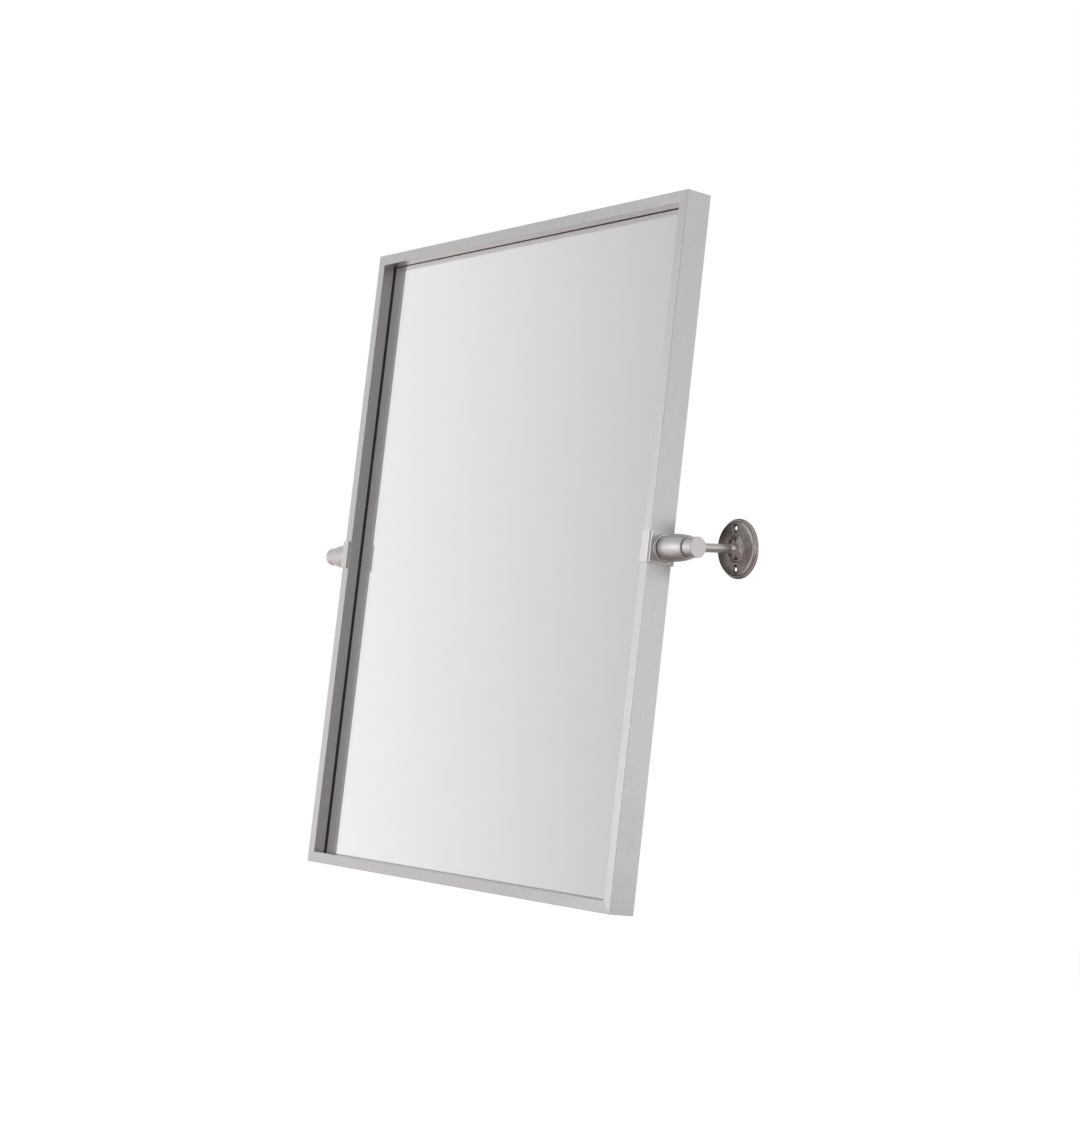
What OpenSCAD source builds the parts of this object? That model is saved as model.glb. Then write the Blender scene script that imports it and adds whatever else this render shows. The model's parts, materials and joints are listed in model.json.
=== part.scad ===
// Pivot wall mirror: a mitred metal frame that tilts between two turned wall rosettes.
// Millimetres. Origin on the wall, midway between the rosettes, at the height of the pivot.
// +X to the right as the user sees it, +Y into the wall, +Z up.

/* [Frame] */
// Outer width of the frame
frame_w = 610; // [400:1:900]
// Outer height of the frame
frame_h = 762; // [500:1:1100]
// Width of the rails' front face
face_w = 12.7; // [12:0.1:18]
// Depth of the front face above the glass
recess_d = 14.3; // [8:0.1:20]
// Thickness of the rails' outer wall
side_wall = 1.6; // [1.2:0.1:2.2]
// Thickness of the walls round the rails' front hollow
box_wall = 1.4; // [1:0.1:2]
// Radius along the rails' visible edges
edge_r = 0.6; // [0.3:0.1:1]
// Hairline left open at each mitre
mitre_gap = 0.1; // [0.05:0.05:0.3]

/* [Key channel] */
// Inside width of the rear channel that holds the corner keys
channel_w = 8.4; // [7.5:0.1:9]
// Inside depth of the rear channel
channel_d = 4.6; // [4:0.1:8]
// Thickness of the channel's walls
channel_wall = 1.2; // [1:0.1:1.4]
// Length of each arm of a corner key
key_len = 40; // [30:1:60]
// Thickness of a corner key
key_t = 2.6; // [2:0.1:3.2]
// Diameter of the grub screws in the keys
key_screw_d = 3.6; // [3:0.1:4.5]
// Distance of the grub screws from the ends of a key
key_screw_edge = 9; // [5:0.5:12]

/* [Glass pack] */
// Thickness of the glass
glass_t = 5; // [4:0.5:8]
// Gap between the pane's edge and the rails' outer wall
edge_gap = 3.6; // [2.5:0.1:4.5]
// Chamfer along the pane's edges
seam = 0.8; // [0.4:0.1:1.2]
// Thickness of the silver and the paint over it
silver_t = 0.2; // [0.1:0.05:0.4]
// Thickness of the backing board
board_t = 3; // [2:0.25:6]
// Room between the board and the key channel, for the bowed spring clips
spring_room = 1.95; // [1.4:0.05:4]
// Thickness of the spring clips' strip
spring_t = 0.5; // [0.4:0.05:0.7]
// Length of a spring clip
spring_len = 60; // [40:1:80]
// Width of a spring clip
spring_w = 11; // [8:0.5:14]
// Length of a rubber pad at the pane's edge
pad_len = 30; // [20:1:50]

/* [Saddle clips] */
// Height of a saddle clip
clip_h = 33; // [26:0.5:45]
// How far the clip's middle lies below the pivot line
clip_drop = 0.8; // [0:0.1:2]
// Thickness of the clip's sheet
clip_t = 2.5; // [1.5:0.1:3]
// How far the clip's legs reach over the rail's front and back
clip_reach = 11; // [8:0.1:12]
// Outside radius of the clip's bends
bend_r = 3; // [1.6:0.1:4]

/* [Pivot] */
// Depth of the pivot line behind the front of the glass
pivot_set = 4.2; // [3.8:0.1:5]
// Height of the pivot line above the middle of the frame
pivot_rise = 1; // [0:0.5:10]
// Height of the domed collar on the clip
collar_t = 1.6; // [0.8:0.1:3]
// Radius of the collar
collar_r = 15.6; // [14.5:0.1:16.4]
// Thickness of the black washer between collar and barrel
base_washer_t = 0.8; // [0.5:0.1:2]
// Thickness of the black washer between barrel and knuckle
friction_washer_t = 0.6; // [0.4:0.05:1]
// Length of a barrel
barrel_len = 37.6; // [25:0.1:60]
// Radius of the barrel next to the collar
barrel_base_r = 12.8; // [12:0.1:14]
// Radius of the barrel at its widest
barrel_mid_r = 14.7; // [14.2:0.1:17]
// Distance of the widest place from the collar end of the barrel
barrel_swell = 15; // [12:0.5:20]
// Depth of the seat in the barrel's outer end, which the knuckle enters
seat_depth = 1.6; // [1:0.1:4]
// Gap between the knuckle and the wall of the seat
seat_gap = 0.4; // [0.3:0.1:1.5]
// Width of the barrel's lip round the seat
seat_lip = 1.2; // [0.6:0.1:2]
// Length of a knuckle with its cap
knuckle_len = 15.2; // [14.4:0.1:20]
// Radius of a knuckle
knuckle_r = 10.8; // [10.6:0.1:11.4]
// Thickness of the knuckle's end cap
cap_t = 1.2; // [0.8:0.1:1.2]
// Chamfer round the end cap
cap_chamfer = 0.35; // [0.2:0.05:0.6]
// Diameter of the pivot bolt's thread
bolt_d = 6; // [5:0.5:6.5]
// Diameter of the bolt's shoulder, on which the knuckle turns
shoulder_d = 8; // [7.5:0.1:8.4]
// Length of the tapped plate
nut_len = 46; // [30:1:70]

/* [Wall rosettes] */
// Distance of the pivot line from the wall
wall_gap = 60; // [60:1:110]
// Distance left between the wall and the frame's top rear edge: it sets the lean at rest
wall_clear = 0.8; // [0.8:0.1:46]
// Diameter of the posts
post_d = 9.5; // [8:0.1:9.6]
// Distance of a post's axis from the knuckle's outer end
post_set = 6.4; // [5.6:0.1:8]
// Diameter of a rosette
rosette_d = 63; // [62:0.5:90]
// Height of the rosette's lower, outer step
rim_h = 1.9; // [1.6:0.1:2.6]
// Height of the rosette's flat face
rosette_h = 5; // [4.5:0.1:6]
// Thickness of the face over the rosette's hollow back
face_t = 2.3; // [2:0.1:3]
// Height of the rosette's hub
hub_h = 14; // [11:0.5:20]
// Radius of the hub at its foot
hub_foot_r = 11.6; // [10.5:0.1:12.2]
// How far the hub's flared side is hollowed
hub_hollow = 1.2; // [0.6:0.1:1.5]
// Radius of the bead ring round the hub
bead_ring_r = 13.6; // [13.2:0.1:14.2]
// Height pitch of the two wall screw holes
hole_pitch = 43; // [42:0.5:46]
// Diameter of the wall screw holes
hole_d = 5; // [4:0.1:5.5]
// Diameter of the dished seats for the screws' heads
sink_d = 9.8; // [9:0.1:11]
// Depth of the dished seats
sink_h = 1; // [0.8:0.1:1.5]

/* [Hidden] */

LEFT = -1;
RIGHT = 1;
BOTTOM = -1;
TOP = 1;

// Clearances
running = 0.05;     // round a turning shaft, and between faces that turn on each other
slip = 0.1;         // round a piece that is pushed home
hole_slack = 0.2;   // round a screw in a plain hole
thread_slack = 0.02; // between a screw and its tapped hole
slot_slack = 0.3;   // between a grub screw and the channel's lips
plate_slack = 0.4;  // between a tapped plate and the pane's edge
film = 0.05;        // between the pane and its coating
end_bevel = 0.4;    // bevel round the barrel's two ends
arc_faces = 96;     // faces of a round in the preview mesh
past = 1;           // how far a cutter runs past the face that it opens

// Depths in the frame, measured back from its front face
glass_back = recess_d + glass_t;
silver_front = glass_back + film;
board_front = silver_front + silver_t;
board_back = board_front + board_t;
channel_front = board_back + spring_room;
channel_floor = channel_front + channel_wall;
lips_front = channel_floor + channel_d;
frame_d = lips_front + channel_wall;
key_front = lips_front - key_t;
pivot_depth = recess_d + pivot_set;

// Widths in the rail, measured in from its outer face
pane_inset = side_wall + edge_gap;
channel_mid = side_wall + channel_w / 2;
slot_w = key_screw_d + 2 * slot_slack;
key_screw_at = side_wall + key_len - key_screw_edge;
nut_t = edge_gap - plate_slack;

// Lean of the mirror at rest, top towards the wall
above_pivot = frame_h / 2 - pivot_rise;
behind_pivot = frame_d - pivot_depth;
tilt = asin((wall_gap - wall_clear) / norm([above_pivot, behind_pivot])) - atan2(behind_pivot, above_pivot);

// Places along the pivot line, measured out from the middle of the frame
clip_inner = frame_w / 2 + slip;
clip_outer = clip_inner + clip_t;
collar_stop = clip_outer + collar_t;
barrel_start = collar_stop + base_washer_t;
barrel_stop = barrel_start + barrel_len;
seat_floor = barrel_stop - seat_depth;
washer_start = seat_floor + running;
knuckle_start = washer_start + friction_washer_t;
knuckle_stop = knuckle_start + knuckle_len;
post_x = knuckle_stop - post_set;

// Radii of the turned pieces
base_washer_r = barrel_base_r - 0.6;
collar_flat_r = barrel_base_r + 0.2;
seat_r = knuckle_r + seat_gap;
barrel_end_r = seat_r + seat_lip;

// Inside the knuckle
bearing_len = 7.8;
head_r = 5.2;
head_h = 3;
socket_af = 4;
dish_h = 0.9;
dish_t = 0.5;
counterbore_r = head_r + 0.5;
counterbore_floor = knuckle_start + bearing_len;
head_seat = counterbore_floor + dish_h + running;
knuckle_body_stop = knuckle_stop - cap_t;
cap_spigot = 1.2;
post_web = 1;
post_sink = knuckle_r - counterbore_r - post_web;

// Inside the rosette
post_screw_d = 5;
post_screw_len = 16;
post_screw_head_d = 9.6;
post_screw_head_h = (post_screw_head_d - post_screw_d) / 2;
bead_r = 1.2;
groove_depth = 0.5;
hub_top_r = post_d / 2 + 0.5;
boss_r = post_screw_head_d / 2 + 4;
hollow_r = rosette_d / 2 - 5;
hollow_h = rosette_h - face_t;
post_foot = rosette_h;
post_tip = wall_gap - knuckle_r + post_sink;

module at_pivot() {
    translate([0, -wall_gap, 0]) children();
}

module on_mirror() {
    at_pivot() rotate([-tilt, 0, 0]) children();
}

// Origin moved to the middle of the frame's front face
module in_frame() {
    on_mirror() translate([0, -pivot_depth, -pivot_rise]) children();
}

module on_side(side) {
    mirror([side == LEFT ? 1 : 0, 0, 0]) children();
}

// Children drawn round +Z are laid along +X, from the middle outwards
module along_pivot(side, start) {
    on_side(side) translate([start, 0, 0]) rotate([0, 90, 0]) children();
}

// Children drawn on the wall, with +Z out of it, at one post
module on_wall(side) {
    translate([side * post_x, 0, 0]) rotate([90, 0, 0]) children();
}

// What is left outside a rounded corner whose material fills x > 0, y > 0
module corner_waste(r) {
    difference() {
        translate([-past, -past]) square(r + past);
        translate([r, r]) circle(r, $fn = arc_faces);
    }
}

module ring(outer_r, inner_r, h) {
    difference() {
        cylinder(r = outer_r, h = h, $fn = arc_faces);
        translate([0, 0, -past]) cylinder(r = inner_r, h = h + 2 * past, $fn = arc_faces);
    }
}

// ---- Rails: one extrusion, mitred at both ends

module rail_profile() {
    difference() {
        union() {
            square([face_w, recess_d]);
            square([side_wall, frame_d]);
            translate([0, channel_front])
                square([side_wall + channel_w + channel_wall, frame_d - channel_front]);
        }
        translate([side_wall, box_wall])
            square([face_w - side_wall - box_wall, recess_d - 2 * box_wall]);
        translate([side_wall, channel_floor]) square([channel_w, channel_d]);
        translate([channel_mid - slot_w / 2, channel_floor]) square([slot_w, frame_d]);
        corner_waste(edge_r);
        translate([face_w, 0]) mirror([1, 0]) corner_waste(edge_r);
        translate([0, frame_d]) mirror([0, 1]) corner_waste(edge_r);
    }
}

// Lies along Z, with its outer face on x = 0 and its front face on y = 0
module rail(len) {
    block = 3 * frame_d;
    difference() {
        translate([0, 0, -len / 2]) linear_extrude(len) rail_profile();
        for (end = [BOTTOM, TOP])
            translate([0, 0, end * (len - mitre_gap) / 2])
                rotate([0, end == TOP ? 45 : 135, 0])
                    translate([-block / 2, -block / 3, 0]) cube(block);
    }
}

module side_rail(side) {
    color([0.74, 0.73, 0.72]) in_frame() on_side(-side) translate([-frame_w / 2, 0, 0])
        difference() {
            rail(frame_h);
            translate([-past, pivot_depth, pivot_rise]) rotate([0, 90, 0])
                cylinder(d = bolt_d + 2 * hole_slack, h = side_wall + 2 * past, $fn = arc_faces);
        }
}

module end_rail(end) {
    color([0.74, 0.73, 0.72]) in_frame() mirror([0, 0, end == TOP ? 1 : 0])
        translate([0, 0, -frame_h / 2]) rotate([0, -90, 0]) rail(frame_w);
}

module rail_left() { side_rail(LEFT); }
module rail_right() { side_rail(RIGHT); }
module rail_top() { end_rail(TOP); }
module rail_bottom() { end_rail(BOTTOM); }

// ---- Corner keys: L-shaped plates clamped behind the channel's lips by grub screws

// Children drawn at the bottom left corner, with its arms along +X and +Z
module at_corner(side, end) {
    in_frame() mirror([side == RIGHT ? 1 : 0, 0, 0]) mirror([0, 0, end == TOP ? 1 : 0])
        translate([-frame_w / 2, 0, -frame_h / 2]) children();
}

module key_screw_places() {
    for (place = [[key_screw_at, channel_mid], [channel_mid, key_screw_at]])
        translate([place[0], 0, place[1]]) rotate([-90, 0, 0]) children();
}

module corner_key(side, end) {
    arm_w = channel_w - 2 * slip;
    color([0.55, 0.56, 0.58]) at_corner(side, end)
        difference() {
            translate([side_wall + slip, lips_front, side_wall + slip]) rotate([90, 0, 0])
                linear_extrude(key_t) union() {
                    square([key_len, arm_w]);
                    square([arm_w, key_len]);
                }
            key_screw_places() translate([0, 0, key_front - past])
                cylinder(d = key_screw_d + 2 * thread_slack, h = key_t + 2 * past, $fn = arc_faces);
        }
}

module corner_key_top_left() { corner_key(LEFT, TOP); }
module corner_key_top_right() { corner_key(RIGHT, TOP); }
module corner_key_bottom_left() { corner_key(LEFT, BOTTOM); }
module corner_key_bottom_right() { corner_key(RIGHT, BOTTOM); }

module key_screws() {
    hex_af = 1.8;
    hex_depth = 1.6;
    color([0.25, 0.25, 0.27]) for (side = [LEFT, RIGHT]) for (end = [BOTTOM, TOP])
        at_corner(side, end) key_screw_places() translate([0, 0, channel_floor])
            difference() {
                cylinder(d = key_screw_d, h = channel_d, $fn = arc_faces);
                translate([0, 0, channel_d - hex_depth])
                    cylinder(d = hex_af / cos(30), h = hex_depth + past, $fn = 6);
            }
}

// ---- Glass, silver, board, and what holds them in the rebate

pane_w = frame_w - 2 * pane_inset;
pane_h = frame_h - 2 * pane_inset;

// Outline of a plate of width w and thickness t, with its four edges chamfered
module seamed_outline(w, t, c) {
    polygon([[-w / 2 + c, 0], [w / 2 - c, 0], [w / 2, c], [w / 2, t - c],
             [w / 2 - c, t], [-w / 2 + c, t], [-w / 2, t - c], [-w / 2, c]]);
}

module mirror_glass() {
    color([0.80, 0.86, 0.86]) in_frame() translate([0, recess_d, 0]) intersection() {
        translate([0, 0, -pane_h / 2]) linear_extrude(pane_h) seamed_outline(pane_w, glass_t, seam);
        rotate([0, 90, 0]) translate([0, 0, -pane_w / 2])
            linear_extrude(pane_w) seamed_outline(pane_h, glass_t, seam);
    }
}

module plate(front, thickness, inset) {
    translate([-pane_w / 2 + inset, front, -pane_h / 2 + inset])
        cube([pane_w - 2 * inset, thickness, pane_h - 2 * inset]);
}

module silver_coat() { color([0.85, 0.86, 0.87]) in_frame() plate(silver_front, silver_t, seam); }

module backing_board() { color([0.16, 0.16, 0.16]) in_frame() plate(board_front, board_t, 0); }

// A strip bowed towards the board, under the channel of the rail that lies along Z on x = 0
module spring_clip() {
    rise = channel_front - board_back - spring_t - 2 * running;
    bow_r = (spring_len * spring_len / 4 + rise * rise) / (2 * rise);
    half_angle = asin(spring_len / 2 / bow_r);
    translate([side_wall + slip, board_back + running + bow_r, 0])
        rotate([0, 90, 0]) rotate([0, 0, -90 - half_angle])
            rotate_extrude(angle = 2 * half_angle, $fn = 2400)
                translate([bow_r - spring_t, 0]) square([spring_t, spring_w]);
}

// Children drawn for the left rail are set at a height, and again on the right rail
module along_side_rails(heights) {
    for (side = [LEFT, RIGHT]) for (z = heights)
        on_side(-side) translate([-frame_w / 2, 0, z]) children();
}

// The same for the bottom rail and the top rail
module along_end_rails(places) {
    for (end = [BOTTOM, TOP]) for (x = places)
        mirror([0, 0, end == TOP ? 1 : 0]) translate([x, 0, -frame_h / 2]) rotate([0, -90, 0]) children();
}

module spring_clips() {
    color([0.45, 0.46, 0.48]) in_frame() {
        along_side_rails([-3 * frame_h / 8, -frame_h / 8, frame_h / 8, 3 * frame_h / 8]) spring_clip();
        along_end_rails([-frame_w / 5, frame_w / 5]) spring_clip();
    }
}

module glass_pad() {
    translate([side_wall, recess_d + slip, -pad_len / 2])
        cube([edge_gap - slip, glass_t - 2 * slip, pad_len]);
}

module glass_pads() {
    color([0.12, 0.12, 0.12]) in_frame() {
        along_side_rails([-frame_h / 3, frame_h / 3]) glass_pad();
        along_end_rails([-frame_w / 4, frame_w / 4]) glass_pad();
    }
}

// ---- Saddle clips, collars, washers and barrels

module clip_profile() {
    front = -pivot_depth - slip - clip_t;
    back = frame_d - pivot_depth + slip + clip_t;
    leg_tip = frame_w / 2 - clip_reach;
    difference() {
        translate([leg_tip, front]) square([clip_outer - leg_tip, back - front]);
        translate([leg_tip - past, front + clip_t])
            square([clip_inner - leg_tip + past, back - front - 2 * clip_t]);
        translate([clip_outer, front]) mirror([1, 0]) corner_waste(bend_r);
        translate([clip_outer, back]) rotate(180) corner_waste(bend_r);
    }
}

module clip(side) {
    color([0.76, 0.75, 0.75]) on_mirror() on_side(side) difference() {
        translate([0, 0, -clip_h / 2 - clip_drop]) linear_extrude(clip_h) clip_profile();
        translate([clip_inner - past, 0, 0]) rotate([0, 90, 0])
            cylinder(d = bolt_d + 2 * hole_slack, h = clip_t + 2 * past, $fn = arc_faces);
    }
}

module left_clip() { clip(LEFT); }
module right_clip() { clip(RIGHT); }

// Domed: an arc rises from the collar's rim to its flat top
module base_collars() {
    dome_w = collar_r - collar_flat_r;
    dome_r = (dome_w * dome_w + collar_t * collar_t) / (2 * collar_t);
    color([0.74, 0.71, 0.70]) on_mirror() for (side = [LEFT, RIGHT]) along_pivot(side, clip_outer)
        rotate_extrude($fn = arc_faces) difference() {
            union() {
                square([collar_flat_r, collar_t]);
                intersection() {
                    square([collar_r, collar_t]);
                    translate([collar_flat_r, collar_t - dome_r]) circle(dome_r, $fn = 360);
                }
            }
            translate([-past, -past]) square([bolt_d / 2 + hole_slack + past, collar_t + 2 * past]);
        }
}

module base_washers() {
    color([0.10, 0.10, 0.10]) on_mirror() for (side = [LEFT, RIGHT])
        along_pivot(side, collar_stop) ring(base_washer_r, bolt_d / 2 + hole_slack, base_washer_t);
}

// A circle arc through the barrel's widest place and one end, bulging to +x
module swell(r_mid, r_end, len) {
    drop = r_mid - r_end;
    arc_r = (len * len + drop * drop) / (2 * drop);
    intersection() {
        square([r_mid, len]);
        translate([r_mid - arc_r, 0]) circle(arc_r, $fn = 1440);
    }
}

// What a 45 degree bevel takes off the end of a turned piece of radius r
module bevel_waste(r) {
    polygon([[r - end_bevel, 0], [r - end_bevel, -past], [r + past, -past], [r + past, end_bevel + past]]);
}

module barrel(side) {
    color([0.72, 0.69, 0.68]) on_mirror() along_pivot(side, barrel_start)
        rotate_extrude($fn = arc_faces) difference() {
            union() {
                translate([0, barrel_swell]) mirror([0, 1]) swell(barrel_mid_r, barrel_base_r, barrel_swell);
                translate([0, barrel_swell]) swell(barrel_mid_r, barrel_end_r, barrel_len - barrel_swell);
            }
            translate([-past, -past]) square([bolt_d / 2 + hole_slack + past, barrel_len + 2 * past]);
            translate([0, barrel_len - seat_depth]) square([seat_r, seat_depth + past]);
            bevel_waste(barrel_base_r);
            translate([0, barrel_len]) mirror([0, 1]) bevel_waste(barrel_end_r);
        }
}

module left_barrel() { barrel(LEFT); }
module right_barrel() { barrel(RIGHT); }

// ---- Pivot: bolt, tapped plate, washers, knuckle and cap

module pivot_bolts() {
    tip = frame_w / 2 - side_wall - nut_t;
    socket_depth = 1.8;
    color([0.40, 0.40, 0.42]) on_mirror() for (side = [LEFT, RIGHT]) difference() {
        union() {
            along_pivot(side, tip) cylinder(d = bolt_d, h = seat_floor - tip, $fn = arc_faces);
            along_pivot(side, seat_floor)
                cylinder(d = shoulder_d, h = head_seat - seat_floor, $fn = arc_faces);
            along_pivot(side, head_seat) cylinder(r = head_r, h = head_h, $fn = arc_faces);
        }
        along_pivot(side, head_seat + head_h - socket_depth)
            cylinder(d = socket_af / cos(30), h = socket_depth + past, $fn = 6);
    }
}

module nut_plates() {
    plate_w = channel_front - recess_d - 2 * slip;
    color([0.50, 0.50, 0.52]) on_mirror() for (side = [LEFT, RIGHT]) on_side(side) difference() {
        translate([frame_w / 2 - side_wall - nut_t, recess_d - pivot_depth + slip, -nut_len / 2])
            cube([nut_t, plate_w, nut_len]);
        translate([frame_w / 2 - side_wall - nut_t - past, 0, 0]) rotate([0, 90, 0])
            cylinder(d = bolt_d + 2 * thread_slack, h = nut_t + 2 * past, $fn = arc_faces);
    }
}

module friction_washers() {
    color([0.10, 0.10, 0.10]) at_pivot() for (side = [LEFT, RIGHT])
        along_pivot(side, washer_start) ring(seat_r - slip, shoulder_d / 2 + running, friction_washer_t);
}

// Dished: the outer edge rests on the counterbore's floor, the inner edge on the bolt's head
module spring_washers() {
    inner_r = shoulder_d / 2 + running;
    outer_r = counterbore_r - slip;
    color([0.35, 0.35, 0.37]) at_pivot() for (side = [LEFT, RIGHT])
        along_pivot(side, counterbore_floor) rotate_extrude($fn = arc_faces)
            polygon([[outer_r, 0], [outer_r, dish_t], [inner_r, dish_h], [inner_r, dish_h - dish_t]]);
}

module knuckle(side) {
    color([0.72, 0.69, 0.68]) at_pivot() difference() {
        along_pivot(side, knuckle_start)
            cylinder(r = knuckle_r, h = knuckle_body_stop - knuckle_start, $fn = arc_faces);
        along_pivot(side, knuckle_start - past)
            cylinder(d = shoulder_d + 2 * running, h = bearing_len + 2 * past, $fn = arc_faces);
        along_pivot(side, counterbore_floor) cylinder(r = counterbore_r, h = knuckle_len, $fn = arc_faces);
        translate([side * post_x, knuckle_r - post_sink, 0]) rotate([-90, 0, 0])
            cylinder(d = post_d + 2 * thread_slack, h = knuckle_r, $fn = arc_faces);
    }
}

module left_knuckle() { knuckle(LEFT); }
module right_knuckle() { knuckle(RIGHT); }

module end_cap(side) {
    color([0.76, 0.75, 0.75]) at_pivot() along_pivot(side, knuckle_body_stop)
        rotate_extrude($fn = arc_faces) union() {
            polygon([[0, 0], [knuckle_r, 0], [knuckle_r, cap_t - cap_chamfer],
                     [knuckle_r - cap_chamfer, cap_t], [0, cap_t]]);
            translate([0, -cap_spigot]) square([counterbore_r - thread_slack, cap_spigot]);
        }
}

module left_end_cap() { end_cap(LEFT); }
module right_end_cap() { end_cap(RIGHT); }

// ---- Posts and rosettes

module post(side) {
    color([0.70, 0.69, 0.68]) on_wall(side) difference() {
        translate([0, 0, post_foot]) cylinder(d = post_d, h = post_tip - post_foot, $fn = arc_faces);
        translate([0, 0, post_foot - past])
            cylinder(d = post_screw_d + 2 * thread_slack, h = post_screw_len - post_foot + 2 * past,
                     $fn = arc_faces);
    }
}

module left_post() { post(LEFT); }
module right_post() { post(RIGHT); }

module countersunk(d, head_d, head_h, len) {
    rotate_extrude($fn = arc_faces)
        polygon([[0, 0], [head_d / 2, 0], [d / 2, head_h], [d / 2, len], [0, len]]);
}

module post_screws() {
    driver_d = 3;
    driver_depth = 1.8;
    color([0.35, 0.35, 0.37]) for (side = [LEFT, RIGHT]) on_wall(side) difference() {
        translate([0, 0, slip])
            countersunk(post_screw_d, post_screw_head_d, post_screw_head_h, post_screw_len - slip);
        cylinder(d = driver_d / cos(30), h = slip + driver_depth, $fn = 6);
    }
}

// The hub's side: a straight flare from its foot to its top, hollowed by one arc
module hub_outline() {
    run = hub_foot_r - hub_top_r;
    rise = hub_h - rosette_h;
    chord = norm([run, rise]);
    cove_r = (chord * chord / 4 + hub_hollow * hub_hollow) / (2 * hub_hollow);
    away = cove_r - hub_hollow;
    difference() {
        polygon([[0, rosette_h - groove_depth], [hub_foot_r, rosette_h - groove_depth],
                 [hub_foot_r, rosette_h], [hub_top_r, hub_h], [0, hub_h]]);
        translate([(hub_foot_r + hub_top_r) / 2 + away * rise / chord,
                   (rosette_h + hub_h) / 2 + away * run / chord])
            circle(cove_r, $fn = 360);
    }
}

// Half outline of the rosette, turned round its axis: two quarter rounds at the rim,
// a flat face, a bead ring with a groove inside it, a flared hub, and the hollow behind
module rosette_outline() {
    rosette_r = rosette_d / 2;
    rim_r = rim_h - 0.4;
    step_r = rosette_h - rim_h;
    shoulder_r = rosette_r - rim_r - 0.2;
    difference() {
        union() {
            difference() {
                square([rosette_r, rim_h]);
                translate([rosette_r, rim_h]) rotate(180) corner_waste(rim_r);
            }
            difference() {
                square([shoulder_r, rosette_h]);
                translate([shoulder_r, rosette_h]) rotate(180) corner_waste(step_r - 0.2);
            }
            translate([bead_ring_r, rosette_h]) circle(bead_r, $fn = arc_faces);
        }
        square_ring(hub_foot_r, bead_ring_r - bead_r, rosette_h - groove_depth, 2 * groove_depth);
        square_ring(boss_r, hollow_r, -past, hollow_h + past);
    }
    hub_outline();
}

// A rectangle between two radii, for cuts in a turned outline
module square_ring(inner_r, outer_r, start, height) {
    translate([inner_r, start]) square([outer_r - inner_r, height]);
}

module flange(side) {
    color([0.60, 0.57, 0.56]) on_wall(side) difference() {
        rotate_extrude($fn = arc_faces) rosette_outline();
        translate([0, 0, post_foot]) cylinder(d = post_d + 2 * thread_slack, h = hub_h, $fn = arc_faces);
        translate([0, 0, -past])
            cylinder(d = post_screw_d + 2 * hole_slack, h = rosette_h + 2 * past, $fn = arc_faces);
        countersunk(post_screw_d, post_screw_head_d + 2 * slip, post_screw_head_h + slip, rosette_h);
        for (z = [-hole_pitch / 2, hole_pitch / 2]) translate([0, z, 0]) {
            translate([0, 0, -past]) cylinder(d = hole_d, h = rosette_h + 2 * past, $fn = arc_faces);
            translate([0, 0, rosette_h]) mirror([0, 0, 1]) countersunk(hole_d, sink_d, sink_h, sink_h);
        }
    }
}

module left_flange() { flange(LEFT); }
module right_flange() { flange(RIGHT); }

left_flange();
right_flange();
left_post();
right_post();
post_screws();
left_knuckle();
right_knuckle();
left_end_cap();
right_end_cap();
friction_washers();
spring_washers();
pivot_bolts();
left_barrel();
right_barrel();
base_washers();
base_collars();
left_clip();
right_clip();
nut_plates();
rail_left();
rail_right();
rail_top();
rail_bottom();
corner_key_top_left();
corner_key_top_right();
corner_key_bottom_left();
corner_key_bottom_right();
key_screws();
mirror_glass();
silver_coat();
backing_board();
spring_clips();
glass_pads();
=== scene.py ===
"""Pivot wall mirror: the finishes of its pieces, seen in a plain pale studio.
Metres, in the part's own frame: origin on the wall between the two rosettes, +X to the right as the
user sees it, +Y into the wall, +Z up."""

import math

import bpy
from mathutils import Matrix, Vector
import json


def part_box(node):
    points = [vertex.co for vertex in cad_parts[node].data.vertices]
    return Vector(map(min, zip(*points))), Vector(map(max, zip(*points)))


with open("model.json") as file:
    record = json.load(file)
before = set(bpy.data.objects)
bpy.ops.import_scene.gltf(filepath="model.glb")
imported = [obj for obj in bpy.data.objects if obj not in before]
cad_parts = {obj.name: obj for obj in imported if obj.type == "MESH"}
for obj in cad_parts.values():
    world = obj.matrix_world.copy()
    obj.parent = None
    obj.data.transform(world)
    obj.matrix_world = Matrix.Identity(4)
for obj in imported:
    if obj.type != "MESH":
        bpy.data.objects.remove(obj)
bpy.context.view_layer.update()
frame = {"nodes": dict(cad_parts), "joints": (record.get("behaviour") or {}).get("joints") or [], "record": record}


# ---- Camera ------------------------------------------------------------------------------------
# It stands 2.7 m off, to the right of the mirror and a little below its pivots, and looks along the
# front of the glass to the left. Its angles and place were fitted to the corners of the frame.

CAMERA_PLACE = (2.218135, -1.602824, -0.076959)
CAMERA_YAW = math.radians(54.1055)    # turned to the left of straight at the wall
CAMERA_PITCH = math.radians(1.2484)   # looking up
CAMERA_ROLL = math.radians(0.7616)
CAMERA_LENS = 74.518                  # millimetres, for a sensor this wide on the long side
SENSOR_WIDTH = 36

ahead = Vector((-math.sin(CAMERA_YAW) * math.cos(CAMERA_PITCH),
                math.cos(CAMERA_YAW) * math.cos(CAMERA_PITCH), math.sin(CAMERA_PITCH)))
level = Vector((math.cos(CAMERA_YAW), math.sin(CAMERA_YAW), 0))
upright = level.cross(ahead)
across = math.cos(CAMERA_ROLL) * level + math.sin(CAMERA_ROLL) * upright
above = math.cos(CAMERA_ROLL) * upright - math.sin(CAMERA_ROLL) * level
facing = Matrix((across, above, -ahead)).transposed().to_4x4()

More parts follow.
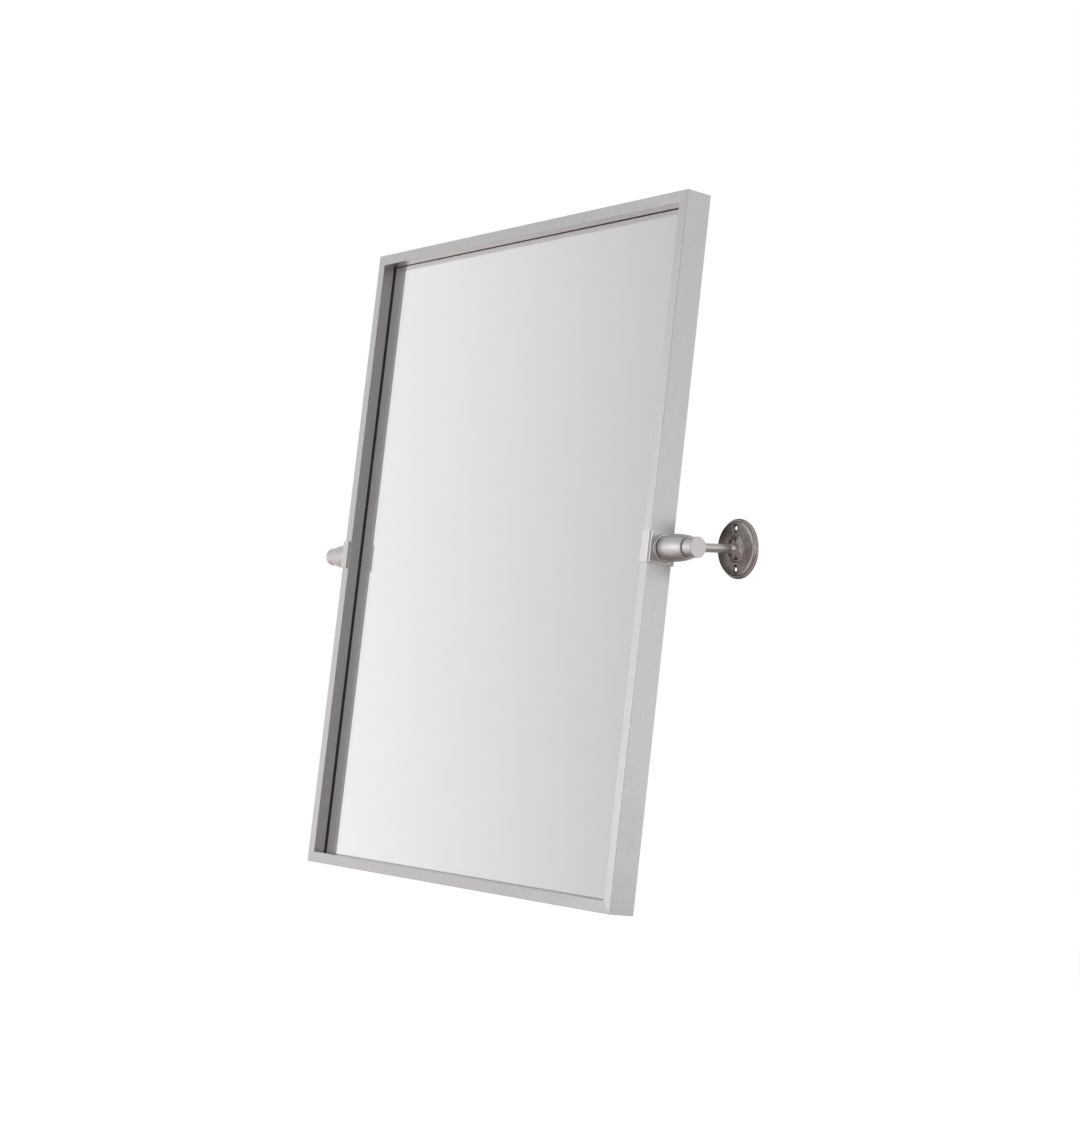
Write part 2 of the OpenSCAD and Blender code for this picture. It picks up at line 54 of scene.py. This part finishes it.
lens = bpy.data.cameras.new("camera")
lens.lens = CAMERA_LENS
lens.sensor_width = SENSOR_WIDTH
camera = bpy.data.objects.new("camera", lens)
camera.matrix_world = Matrix.Translation(CAMERA_PLACE) @ facing
bpy.context.scene.collection.objects.link(camera)
bpy.context.scene.camera = camera
bpy.context.scene.view_settings.view_transform = "Standard"


# ---- Studio: backdrop, floor and lamps ---------------------------------------------------------
# A white backdrop all round, which falls off to grey overhead, underneath and behind the camera, so
# that the bright metal has something dark to show. The mirror hangs 1.25 m above the pale floor.

FLOOR_DROP = 1.25                     # from the pivot line down to the floor
FLOOR_SIZE = 16.0
FLOOR_COLOUR = (0.57, 0.49, 0.47)
FLOOR_GLOW = 0.80                     # what the backdrop adds to the floor, as the camera sees it
LIT_SIDE = (-0.8, -0.6, 0)            # the floor fades into the backdrop to the front left,
SIDE_NEAR, SIDE_FAR = 0.2, 2.4        # between these distances from its middle line,
FLOOR_MIDDLE = (0.5, 1.3, 0)          # and all round between these distances from this point
FLOOR_NEAR, FLOOR_FAR = 2.8, 5.6

# Brightness of the backdrop by compass direction, in degrees from straight in front of the mirror
# to its left. Behind the camera it is dim and a little warm.
ROUND = ((-180, 0.70), (-150, 0.95), (-127, 1.14), (-104, 1.10), (-86, 0.90), (-72, 0.76),
         (-62, (0.42, 0.39, 0.38)), (-50, (0.36, 0.32, 0.31)), (-38, 0.66), (-10, 0.78),
         (15, 0.90), (30, 1.05), (44, 0.92), (51, 0.61), (60.5, 1.04), (64, 1.04), (80, 0.90),
         (100, 0.98), (140, 0.92), (180, 0.70))
# The same by height above a horizon that is tilted a little, down to the right, in degrees
UPWARD = ((-90, 0.22), (-40, (0.80, 0.71, 0.69)), (-18, (1.14, 1.06, 1.05)),
          (-5, (1.02, 0.995, 0.99)), (3, 0.92), (9, 0.865), (15, 0.77), (34, 0.80), (60, 0.55),
          (90, 0.32))
HORIZON_TILT = math.radians(8)
PLAIN_LIGHT = 0.45                    # what the room gives to matt surfaces
WHITE = (1, 1, 1, 1)
GIVES_NUMBER = ("DOT_PRODUCT", "LENGTH", "DISTANCE")

# Compass direction and height in degrees, distance, width and length in metres, and watts
LAMPS = {
    "front_softbox": (28, 5, 3.2, 0.42, 1.4, 4.4),
    "side_softbox": (42, 10, 3.2, 0.35, 1.8, 2.0),
    "right_strip": (-88, 4, 2.6, 0.10, 0.18, 1.5),
    "overhead_softbox": (20, 80, 3.0, 2.6, 2.6, 45),
}


def node(tree, kind, *values, settings=None, **named_values):
    """Adds a node of this kind. Values go to its first inputs, in order, or to an input by name.
    Each is a number, a colour, or another node's output to link."""
    made = tree.nodes.new(kind)
    for name, value in (settings or {}).items():
        setattr(made, name, value)
    inputs = list(zip(made.inputs, values))
    inputs += [(made.inputs[name.replace("_", " ")], v) for name, v in named_values.items()]
    for socket, value in inputs:
        if isinstance(value, bpy.types.NodeSocket):
            tree.links.new(value, socket)
        else:
            socket.default_value = value
    return made


def maths(tree, operation, *values):
    """The output of a Math node that works on these numbers or outputs."""
    return node(tree, "ShaderNodeMath", *values, settings={"operation": operation}).outputs[0]


def vectors(tree, operation, *values, **named_values):
    """The output of a Vector Math node: a number for a length, a distance or a dot product."""
    made = node(tree, "ShaderNodeVectorMath", *values, settings={"operation": operation},
                **named_values)
    return made.outputs["Value" if operation in GIVES_NUMBER else "Vector"]


def blend(tree, share, first, second, way="MIX"):
    """A colour between these two, or the second laid over the first in another way."""
    return node(tree, "ShaderNodeMix", settings={"data_type": "RGBA", "blend_type": way},
                Factor=share, A=first, B=second).outputs[2]


def steps(tree, value, low, high, to_low=0.0, to_high=1.0):
    """Goes softly from one number to another while the value goes from low to high."""
    return node(tree, "ShaderNodeMapRange", settings={"interpolation_type": "SMOOTHSTEP"},
                Value=value, From_Min=low, From_Max=high, To_Min=to_low, To_Max=to_high).outputs[0]


def object_place(tree):
    return node(tree, "ShaderNodeTexCoord").outputs["Object"]


def scale_of(tree, angle, stops):
    """A scale: angle in radians, stops as pairs of degrees and a brightness or a colour."""
    low, high = stops[0][0], stops[-1][0]
    place = node(tree, "ShaderNodeMapRange", Value=angle, From_Min=math.radians(low),
                 From_Max=math.radians(high)).outputs[0]
    ramp = node(tree, "ShaderNodeValToRGB", Fac=place)
    marks = ramp.color_ramp.elements
    while len(marks) < len(stops):
        marks.new(0.5)
    for mark, (degrees, brightness) in zip(marks, stops):
        mark.position = (degrees - low) / (high - low)
        mark.color = (*(brightness if isinstance(brightness, tuple) else (brightness,) * 3), 1)
    return ramp.outputs[0]


def studio_rays(tree):
    """Whether a ray comes from the camera, and whether it comes from there, metal or glass."""
    rays = node(tree, "ShaderNodeLightPath").outputs
    bounced = maths(tree, "MAXIMUM", rays["Is Glossy Ray"], rays["Is Transmission Ray"])
    return rays["Is Camera Ray"], maths(tree, "MAXIMUM", rays["Is Camera Ray"], bounced)


world = bpy.data.worlds.new("studio")
bpy.context.scene.world = world
world.use_nodes = True
sky = world.node_tree
sky.nodes.clear()
toward = node(sky, "ShaderNodeSeparateXYZ",
              node(sky, "ShaderNodeTexCoord").outputs["Generated"]).outputs
compass = maths(sky, "ARCTAN2", maths(sky, "MULTIPLY", toward["X"], -1.0),
                maths(sky, "MULTIPLY", toward["Y"], -1.0))
height = maths(sky, "ARCSINE", maths(sky, "ADD",
                                     maths(sky, "MULTIPLY", toward["X"], math.sin(HORIZON_TILT)),
                                     maths(sky, "MULTIPLY", toward["Z"], math.cos(HORIZON_TILT))))
shade = vectors(sky, "MULTIPLY", scale_of(sky, compass, ROUND), scale_of(sky, height, UPWARD))
by_camera, seen = studio_rays(sky)
shown = node(sky, "ShaderNodeBackground", blend(sky, by_camera, shade, WHITE), 1.0)
plain = node(sky, "ShaderNodeBackground", WHITE, PLAIN_LIGHT)
surround = node(sky, "ShaderNodeMixShader", seen, plain.outputs[0], shown.outputs[0])
node(sky, "ShaderNodeOutputWorld", surround.outputs[0])

half = FLOOR_SIZE / 2
floor_mesh = bpy.data.meshes.new("floor")
floor_corners = ((-half, -half), (half, -half), (half, half), (-half, half))
floor_mesh.from_pydata([(x, y, -FLOOR_DROP) for x, y in floor_corners], [], [(0, 1, 2, 3)])
floor = bpy.data.objects.new("floor", floor_mesh)
bpy.context.scene.collection.objects.link(floor)

floor_paint = bpy.data.materials.new("floor_paint")
floor_paint.use_nodes = True
tree = floor_paint.node_tree
tree.nodes.clear()
by_camera, seen = studio_rays(tree)
glow = node(tree, "ShaderNodeEmission", WHITE, maths(tree, "MULTIPLY", by_camera, FLOOR_GLOW))
matt = node(tree, "ShaderNodeBsdfDiffuse", (*FLOOR_COLOUR, 1))
near = node(tree, "ShaderNodeAddShader", matt.outputs[0], glow.outputs[0])
white = node(tree, "ShaderNodeEmission", WHITE, 1.0)
backdrop = node(tree, "ShaderNodeBsdfTransparent")
far = node(tree, "ShaderNodeMixShader", by_camera, backdrop.outputs[0], white.outputs[0])
spot = vectors(tree, "MULTIPLY", object_place(tree), (1, 1, 0))
aside = vectors(tree, "DOT_PRODUCT", spot, LIT_SIDE)
away = vectors(tree, "DISTANCE", spot, FLOOR_MIDDLE)
fade = maths(tree, "MAXIMUM", steps(tree, aside, SIDE_NEAR, SIDE_FAR),
             steps(tree, away, FLOOR_NEAR, FLOOR_FAR))
both = node(tree, "ShaderNodeMixShader", maths(tree, "MULTIPLY", fade, seen), near.outputs[0],
            far.outputs[0])
node(tree, "ShaderNodeOutputMaterial", both.outputs[0])
floor_mesh.materials.append(floor_paint)

for name, (compass_deg, height_deg, distance, width, length, watts) in LAMPS.items():
    a, e = math.radians(compass_deg), math.radians(height_deg)
    outward = Vector((-math.sin(a) * math.cos(e), -math.cos(a) * math.cos(e), math.sin(e)))
    data = bpy.data.lights.new(name, "AREA")
    data.shape, data.size, data.size_y, data.energy = "RECTANGLE", width, length, watts
    lamp = bpy.data.objects.new(name, data)
    aim = outward.to_track_quat("Z", "Y").to_matrix().to_4x4()
    lamp.matrix_world = Matrix.Translation(outward * distance) @ aim
    lamp.visible_glossy = name != "overhead_softbox"
    bpy.context.scene.collection.objects.link(lamp)


# ---- Wall rosettes, posts and the screws that join them ----------------------------------------
# Turned from solid bar and plated with satin nickel, which the turning marks still show through in
# fine rings. The post sits in the rosette's hub, and a countersunk screw from behind draws it in.

NICKEL = (0.64, 0.625, 0.62)
# The rosettes' nickel is darker and warmer than the posts': painted shade, for the rosettes in the shade behind
# the mirror.
ROSETTE_SHADED_NICKEL = (0.475, 0.437, 0.422)
ROSETTE_ROUGHNESS = 0.26
ROSETTE_MOTTLE = 0.16                 # how much its small blotches darken and lighten it
HUB_RADIUS, HUB_ROUGHNESS = 0.0115, 0.18   # the hub is polished more than the face
POST_ROUGHNESS = 0.30
STEEL = (0.46, 0.46, 0.47)
SCREW_ROUGHNESS = 0.38
RING_WIDTH = 0.00035                  # of a turning mark
RING_DEPTH = 0.000008
RING_GLOSS, HANDLED_GLOSS = 0.05, 0.03     # how far rings and handling change the roughness
BLAST_GRAIN, HANDLING, BLOTCHES = 3200.0, 120.0, 650.0   # per metre
EDGE_STARTS, EDGE_ENDS = 0.9, 1.1     # where the polish fades out, as shares of the hub's radius
SPANGLE, SPANGLE_DEPTH = 900.0, 0.00002
SPANGLE_SHINE, SPANGLE_DULLNESS = 0.08, 0.10
# The dished seats round the screw holes get painted shade: their colour is darkened.
SEAT_RADIUS = 0.0049                  # of the dished seats round the screw holes
SEAT_FADE_STARTS, SEAT_FADE_ENDS = SEAT_RADIUS * 0.8, SEAT_RADIUS * 1.08
SEAT_SHADE_TONE = (0.35, 0.35, 0.35, 1)     # painted shade: how far the plating's colour is darkened in them
INTO_WALL = (0.0, 1.0, 0.0)


def finish(piece, material):
    """Gives a carried-over piece its material, in every slot."""
    mesh = frame["nodes"][piece].data
    mesh.materials.clear()
    mesh.materials.append(material)


def middle(piece):
    low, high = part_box(piece)
    return tuple((low + high) / 2)


def metal(name, colour, roughness, metallic=1.0):
    """A plain metal: its node tree and its shader node, ready for the detail."""
    material = bpy.data.materials.new(name)
    material.use_nodes = True
    tree = material.node_tree
    shader = tree.nodes["Principled BSDF"]
    shader.inputs["Base Color"].default_value = (*colour, 1)
    shader.inputs["Metallic"].default_value = metallic
    shader.inputs["Roughness"].default_value = roughness
    return material, tree, shader


def noise(tree, place, scale, detail=2.0, roughness=0.5, distortion=0.0):
    return node(tree, "ShaderNodeTexNoise", Vector=place, Scale=scale, Detail=detail,
                Roughness=roughness, Distortion=distortion).outputs[0]


def spread(tree, value, low, high, centre=0.5, reach=0.3):
    """Takes a noise value from centre - reach ... centre + reach to low ... high."""
    return node(tree, "ShaderNodeMapRange", Value=value, From_Min=centre - reach,
                From_Max=centre + reach, To_Min=low, To_Max=high).outputs[0]


def mixed(tree, first, share, second, rest):
    """The sum of two values, each times its share."""
    return maths(tree, "ADD", maths(tree, "MULTIPLY", first, share),
                 maths(tree, "MULTIPLY", second, rest))


def tinted(tree, value, colour, darker, lighter):
    """The colour, made darker and lighter by a noise value."""
    return blend(tree, spread(tree, value, 0, 1), (*(c * darker for c in colour), 1),
                 (*(min(1, c * lighter) for c in colour), 1))


def surface(tree, shader, colour=None, roughness=None, height=None, depth=0.0, strength=0.5):
    """Links the finished colour, roughness and relief to the shader."""
    if colour:
        tree.links.new(colour, shader.inputs["Base Color"])
    if roughness:
        tree.links.new(roughness, shader.inputs["Roughness"])
    if height:
        bump = node(tree, "ShaderNodeBump", Strength=strength, Distance=depth, Height=height)
        tree.links.new(bump.outputs[0], shader.inputs["Normal"])


def turned(name, colour, roughness, centre, axis, ring_width=RING_WIDTH, mottle=0.0,
           smooth_radius=0.0, smooth_roughness=0.0):
    """Satin metal with turning marks: rings round an axis, through a fine blasted grain and faint
    handling. Mottle adds small blotches. Within the smooth radius the metal is polished more."""
    material, tree, shader = metal(name, colour, roughness)
    place = object_place(tree)
    from_centre = vectors(tree, "SUBTRACT", place, centre)
    along = vectors(tree, "DOT_PRODUCT", from_centre, axis)
    foot = vectors(tree, "SCALE", axis, Scale=along)
    radius = vectors(tree, "LENGTH", vectors(tree, "SUBTRACT", from_centre, foot))
    rings = node(tree, "ShaderNodeCombineXYZ", along, radius).outputs[0]
    marks = noise(tree, rings, 1 / ring_width / 2, detail=3.0, roughness=0.6)
    grain = noise(tree, place, BLAST_GRAIN)
    cloud = noise(tree, place, HANDLING, detail=3.0, roughness=0.55)
    tone = cloud
    rough = maths(tree, "ADD", spread(tree, marks, roughness - RING_GLOSS, roughness + RING_GLOSS),
                  spread(tree, cloud, -HANDLED_GLOSS, HANDLED_GLOSS))
    if mottle:
        blotch = noise(tree, place, BLOTCHES, detail=3.0, roughness=0.7)
        tone = mixed(tree, cloud, 0.4, blotch, 0.6)
        rough = maths(tree, "ADD", rough, spread(tree, blotch, -mottle / 3, mottle / 3))
    if smooth_radius:
        outside = steps(tree, radius, smooth_radius * EDGE_STARTS, smooth_radius * EDGE_ENDS)
        rough = node(tree, "ShaderNodeMix", settings={"data_type": "FLOAT"}, Factor=outside,
                     A=smooth_roughness, B=rough).outputs[0]
    tone = tinted(tree, tone, colour, darker=0.95 - mottle, lighter=1.04 + mottle)
    surface(tree, shader, tone, rough, height=mixed(tree, marks, 0.6, grain, 0.4),
            depth=RING_DEPTH)
    return material


def zinc(name, colour, roughness):
    """Plain zinc plate: soft spangle in tone and gloss."""
    material, tree, shader = metal(name, colour, roughness)
    spangle = noise(tree, object_place(tree), SPANGLE, detail=3.0, distortion=0.4)
    surface(tree, shader, tinted(tree, spangle, colour, darker=0.82, lighter=1.15),
            spread(tree, spangle, roughness - SPANGLE_SHINE, roughness + SPANGLE_DULLNESS),
            height=spangle, depth=SPANGLE_DEPTH, strength=0.4)
    return material


def painted_seat_shade(material, seats):
    """Paints shade into the dished seats: the plating's colour is darkened there. Seats are points on the holes'
    axes.
    """
    tree = material.node_tree
    shader = tree.nodes["Principled BSDF"]
    plated = shader.inputs["Base Color"].links[0].from_socket
    place = object_place(tree)
    nearest = None
    for seat in seats:
        gap = vectors(tree, "MULTIPLY", vectors(tree, "SUBTRACT", place, seat), (1, 0, 1))
        away = vectors(tree, "LENGTH", gap)
        nearest = maths(tree, "MINIMUM", nearest, away) if nearest else away
    # painted shade: full inside a seat, fading out at its rim
    seat_shade_mask = steps(tree, nearest, SEAT_FADE_STARTS, SEAT_FADE_ENDS, to_low=1, to_high=0)
    surface(tree, shader, blend(tree, seat_shade_mask, plated, SEAT_SHADE_TONE, way="MULTIPLY"))


wall_screws = next(m for m in frame["record"]["mounts"] if m["name"] == "wall_screws")
screw_pitch = wall_screws["dims"]["spacing_y_mm"] / 1000
for side in ("left", "right"):
    hub = middle(side + "_flange")
    rosette = turned(side + "_rosette_shaded_nickel", ROSETTE_SHADED_NICKEL, ROSETTE_ROUGHNESS, hub, INTO_WALL,
                     mottle=ROSETTE_MOTTLE, smooth_radius=HUB_RADIUS,
                     smooth_roughness=HUB_ROUGHNESS)
    painted_seat_shade(rosette, [(hub[0], 0, end * screw_pitch / 2) for end in (-1, 1)])
    finish(side + "_flange", rosette)
    finish(side + "_post", turned(side + "_post_nickel", NICKEL, POST_ROUGHNESS, hub, INTO_WALL))
finish("post_screws", zinc("screw_zinc", STEEL, SCREW_ROUGHNESS))


# ---- Knuckles and their end caps ---------------------------------------------------------------
# Each knuckle is a short turned cylinder on its post. A flat cap with a fine chamfer is pressed
# into its outer end, over the head of the pivot bolt, and its facing leaves the finest rings.

ALONG_PIVOT = (1.0, 0.0, 0.0)
KNUCKLE_ROUGHNESS = 0.38
CAP_ROUGHNESS = 0.34
CAP_RING_WIDTH = 0.00025

pivot = tuple(frame["joints"][0]["pos_m"])
for side in ("left", "right"):
    finish(side + "_knuckle",
           turned(side + "_knuckle_nickel", NICKEL, KNUCKLE_ROUGHNESS, pivot, ALONG_PIVOT))
    finish(side + "_end_cap", turned(side + "_cap_nickel", NICKEL, CAP_ROUGHNESS, pivot,
                                     ALONG_PIVOT, ring_width=CAP_RING_WIDTH))


# ---- Pivot bolts and washers -------------------------------------------------------------------
# Zinc plated shoulder bolts, with a dished spring washer under each head. Thin black nylon washers
# keep the turning faces apart and show as a dark line at each end of the barrel.

NYLON = (0.045, 0.042, 0.040)
NYLON_ROUGHNESS = 0.55
NYLON_GRAIN, NYLON_GRAIN_DEPTH = 1500.0, 0.00002
MOULD_CLOUD, MOULD_GLOSS = 90.0, 0.07
BOLT_ROUGHNESS = 0.34
SPRING_WASHER_STEEL, SPRING_WASHER_ROUGHNESS = (0.36, 0.36, 0.38), 0.36


def moulded(name, colour, roughness, grain, grain_depth):
    """Matt moulded plastic or rubber: fine even grain and slightly uneven gloss."""
    material, tree, shader = metal(name, colour, roughness, metallic=0.0)
    place = object_place(tree)
    cloud = noise(tree, place, MOULD_CLOUD)
    surface(tree, shader, tinted(tree, cloud, colour, darker=0.85, lighter=1.2),
            spread(tree, cloud, roughness - MOULD_GLOSS, roughness + MOULD_GLOSS),
            height=noise(tree, place, grain, detail=3.0), depth=grain_depth)
    return material


nylon = moulded("washer_nylon", NYLON, NYLON_ROUGHNESS, NYLON_GRAIN, NYLON_GRAIN_DEPTH)
for piece in ("friction_washers", "base_washers"):
    finish(piece, nylon)
finish("pivot_bolts", zinc("bolt_zinc", STEEL, BOLT_ROUGHNESS))
finish("spring_washers",
       zinc("washer_spring_steel", SPRING_WASHER_STEEL, SPRING_WASHER_ROUGHNESS))


# ---- Barrels and the domed collars under them --------------------------------------------------
# Turned spacers that swell towards the mirror, with a seat in their outer end that the knuckle
# enters. Under each lies a low domed collar. All carry the same satin nickel as the posts.

BARREL_ROUGHNESS = 0.38
COLLAR_ROUGHNESS = 0.32

for side in ("left", "right"):
    finish(side + "_barrel",
           turned(side + "_barrel_nickel", NICKEL, BARREL_ROUGHNESS, pivot, ALONG_PIVOT))
finish("base_collars", turned("collar_nickel", NICKEL, COLLAR_ROUGHNESS, pivot, ALONG_PIVOT))


# ---- Saddle clips and the tapped plates behind them --------------------------------------------
# Each clip is a strip of sheet folded twice to grip the side rail front and back, brushed before
# folding. The pivot bolt goes through it into a zinc plated plate inside the rail.

CLIP_METAL = (0.68, 0.665, 0.66)
BRUSHED_ROUGHNESS = 0.30
PLATE_ROUGHNESS = 0.42
LINE_WIDTH, LINE_LENGTH, LINE_DEPTH = 0.00022, 0.03, 0.000008   # of a brush line
LINE_NOISE = 0.5                      # noise cells per line and per band
BANDS = (900.0, 900.0, 9.0)           # per metre, across the grain twice and along it
PATCHES, PATCH_STRETCH = 420.0, (1, 1, 0.25)
SOFT_CLOUD = 45.0
LINE_GLOSS = 0.06
STRETCHED = 0.6                       # how far the highlight stretches across the lines
ACROSS_LINES = 0.25


def brushed(name, colour, roughness, grain, line_length=LINE_LENGTH):
    """Brushed metal: fine lines along the grain direction, in tone, gloss and relief, with a
    stretched highlight."""
    material, tree, shader = metal(name, colour, roughness)
    place = object_place(tree)
    turn = Vector(grain).rotation_difference(Vector((0, 0, 1))).to_euler()
    lined = node(tree, "ShaderNodeMapping", settings={"vector_type": "POINT"}, Vector=place,
                 Rotation=turn).outputs[0]
    line_scale = (1 / LINE_WIDTH, 1 / LINE_WIDTH, 1 / line_length)
    lines = noise(tree, vectors(tree, "MULTIPLY", lined, line_scale), LINE_NOISE, detail=4.0,
                  roughness=0.65)
    bands = noise(tree, vectors(tree, "MULTIPLY", lined, BANDS), LINE_NOISE, detail=3.0,
                  roughness=0.6)
    patches = noise(tree, vectors(tree, "MULTIPLY", lined, PATCH_STRETCH), PATCHES, detail=4.0,
                    roughness=0.6)
    cloud = noise(tree, place, SOFT_CLOUD, detail=3.0)
    streaks = mixed(tree, lines, 0.5, bands, 0.5)
    rough = maths(tree, "ADD",
                  spread(tree, streaks, roughness - LINE_GLOSS, roughness + LINE_GLOSS),
                  spread(tree, cloud, -HANDLED_GLOSS, HANDLED_GLOSS))
    tone = mixed(tree, streaks, 0.5, patches, 0.5)
    surface(tree, shader, tinted(tree, tone, colour, darker=0.90, lighter=1.09), rough,
            height=lines, depth=LINE_DEPTH)
    shader.inputs["Anisotropic"].default_value = STRETCHED
    shader.inputs["Anisotropic Rotation"].default_value = ACROSS_LINES
    to_world = {"vector_type": "VECTOR", "convert_from": "OBJECT", "convert_to": "WORLD"}
    world_grain = node(tree, "ShaderNodeVectorTransform", grain, settings=to_world)
    tree.links.new(world_grain.outputs[0], shader.inputs["Tangent"])
    return material


def long_way(piece):
    """The direction of a piece's longest straight edge: the way it was drawn and brushed."""
    mesh = frame["nodes"][piece].data
    edges = ((mesh.vertices[e.vertices[0]].co, mesh.vertices[e.vertices[1]].co)
             for e in mesh.edges)
    start, end = max(edges, key=lambda ends: (ends[0] - ends[1]).length)
    return tuple((end - start).normalized())


for side in ("left", "right"):
    finish(side + "_clip", brushed(side + "_clip_nickel", CLIP_METAL, BRUSHED_ROUGHNESS,
                                   long_way("rail_" + side)))
finish("nut_plates", zinc("plate_zinc", STEEL, PLATE_ROUGHNESS))


# ---- Frame rails -------------------------------------------------------------------------------
# Extruded aluminium, brushed along its length and nickel finished, then sawn to 45 degrees at both
# ends. A hairline shows at each mitre.

RAIL_METAL = (0.60, 0.593, 0.598)
# Painted shade: the faces towards the wall take this dark colour, as if in the wall's shade.
RAIL_BACK_SHADE = (0.10, 0.085, 0.08, 1)
RAIL_BACK_ROUGHNESS = 0.55
FACES_BACK = 0.7                      # cosine from which a face counts as facing back


def rough_and_shaded_back(material, backward):
    """The side that faces the wall is rougher, and its colour is darkened there as painted shade."""
    tree = material.node_tree
    shader = tree.nodes["Principled BSDF"]
    to_object = {"vector_type": "NORMAL", "convert_from": "WORLD", "convert_to": "OBJECT"}
    facing = node(tree, "ShaderNodeVectorTransform",
                  node(tree, "ShaderNodeNewGeometry").outputs["True Normal"],
                  settings=to_object).outputs[0]
    back_faces = maths(tree, "GREATER_THAN", vectors(tree, "DOT_PRODUCT", facing, backward), FACES_BACK)
    plated = shader.inputs["Base Color"].links[0].from_socket
    smooth = shader.inputs["Roughness"].links[0].from_socket
    rough = node(tree, "ShaderNodeMix", settings={"data_type": "FLOAT"}, Factor=back_faces, A=smooth,
                 B=RAIL_BACK_ROUGHNESS).outputs[0]
    surface(tree, shader, blend(tree, back_faces, plated, RAIL_BACK_SHADE), rough)


upward = long_way("rail_right")
backward = (0.0, abs(upward[2]), -upward[1] * math.copysign(1, upward[2]))
for rail in ("rail_left", "rail_right", "rail_top", "rail_bottom"):
    nickel = brushed(rail + "_nickel", RAIL_METAL, BRUSHED_ROUGHNESS, long_way(rail))
    # painted shade on the faces towards the wall, with a rougher finish there
    rough_and_shaded_back(nickel, backward)
    finish(rail, nickel)


# ---- Corner keys and their grub screws ---------------------------------------------------------
# Punched from aluminium sheet with its mill finish. Two grub screws in each press it against the
# channel's lips and draw the mitre shut.

KEY_ALUMINIUM, KEY_ROUGHNESS = (0.60, 0.61, 0.62), 0.38
KEY_LINE_LENGTH = 0.008
GRUB_SCREW, GRUB_SCREW_ROUGHNESS = (0.10, 0.10, 0.105), 0.42

for corner in ("top_left", "top_right", "bottom_left", "bottom_right"):
    finish("corner_key_" + corner, brushed("key_" + corner, KEY_ALUMINIUM, KEY_ROUGHNESS,
                                           (1, 0, 0), line_length=KEY_LINE_LENGTH))
finish("key_screws", zinc("grub_screw_black", GRUB_SCREW, GRUB_SCREW_ROUGHNESS))


# ---- Mirror pane: glass and silver -------------------------------------------------------------
# A 5 mm sheet of float glass with seamed edges, silvered and painted on its back. The silver is a
# film: it has its own node a hair behind the glass.

GLASS = (1.0, 1.0, 1.0)
GLASS_IOR = 1.52
FLOAT_WAVES = 9.0                     # slow waves per metre, which bend a reflection by a hair
FLOAT_WAVE_HEIGHT = 0.0000012
WIPE_MARKS, WIPE_HAZE = 70.0, 0.006   # per metre, and the roughness that wiping leaves
SILVER = (0.94, 0.94, 0.94)
POURED = 14.0                         # clouds per metre, from the way the silver was poured on

glass, tree, shader = metal("float_glass", GLASS, 0.0, metallic=0.0)
shader.inputs["Transmission Weight"].default_value = 1
shader.inputs["IOR"].default_value = GLASS_IOR
place = object_place(tree)
wiped = noise(tree, place, WIPE_MARKS, detail=4.0, distortion=1.0)
waves = noise(tree, place, FLOAT_WAVES, detail=1.0)
surface(tree, shader, roughness=spread(tree, wiped, 0.0, WIPE_HAZE), height=waves,
        depth=FLOAT_WAVE_HEIGHT, strength=1.0)
finish("mirror_glass", glass)

silver, tree, shader = metal("silver_film", SILVER, 0.0)
poured = noise(tree, object_place(tree), POURED, detail=3.0, distortion=0.6)
surface(tree, shader, tinted(tree, poured, SILVER, darker=0.994, lighter=1.006))
finish("silver_coat", silver)


# ---- Backing board -----------------------------------------------------------------------------
# Thin black hardboard, whose black is painted shade for the mirror's back, with the faint screen pattern of its
# pressing on the back.

BOARD_SHADE_BLACK = (0.030, 0.028, 0.027)
SCREEN_PITCH = 0.0014
FIBRES = 260.0
SCREEN_SHARE = 0.3                    # height of the screen pattern beside the fibres'
BOARD_RELIEF = 0.0001
BOARD_ROUGHNESS = (0.5, 0.72)         # on and between the fibres

board, tree, shader = metal("shaded_black_hardboard", BOARD_SHADE_BLACK, BOARD_ROUGHNESS[0], metallic=0.0)
place = object_place(tree)
turns = 2 * math.pi / SCREEN_PITCH
axes = node(tree, "ShaderNodeSeparateXYZ", place).outputs
weave = maths(tree, "MULTIPLY", maths(tree, "SINE", maths(tree, "MULTIPLY", axes["X"], turns)),
              maths(tree, "SINE", maths(tree, "MULTIPLY", axes["Z"], turns)))
fibre = noise(tree, place, FIBRES, detail=5.0, roughness=0.65)
surface(tree, shader, tinted(tree, fibre, BOARD_SHADE_BLACK, darker=0.7, lighter=1.5),
        spread(tree, fibre, *BOARD_ROUGHNESS),
        height=maths(tree, "ADD", maths(tree, "MULTIPLY", weave, SCREEN_SHARE), fibre),
        depth=BOARD_RELIEF, strength=0.6)
finish("backing_board", board)


# ---- Spring clips and glass pads ---------------------------------------------------------------
# Bowed strips of blued spring steel press the board and the glass forward. Black rubber pads centre
# the pane in the rails.

BLUED_STEEL, BLUED_ROUGHNESS = (0.13, 0.15, 0.20), 0.34
SPRING_LINE_LENGTH = 0.01
RUBBER, RUBBER_ROUGHNESS = (0.020, 0.020, 0.020), 0.75
RUBBER_GRAIN, RUBBER_GRAIN_DEPTH = 700.0, 0.00005

finish("spring_clips", brushed("blued_spring", BLUED_STEEL, BLUED_ROUGHNESS, (0, 0, 1),
                               line_length=SPRING_LINE_LENGTH))
finish("glass_pads", moulded("pad_rubber", RUBBER, RUBBER_ROUGHNESS, RUBBER_GRAIN,
                             RUBBER_GRAIN_DEPTH))


import json
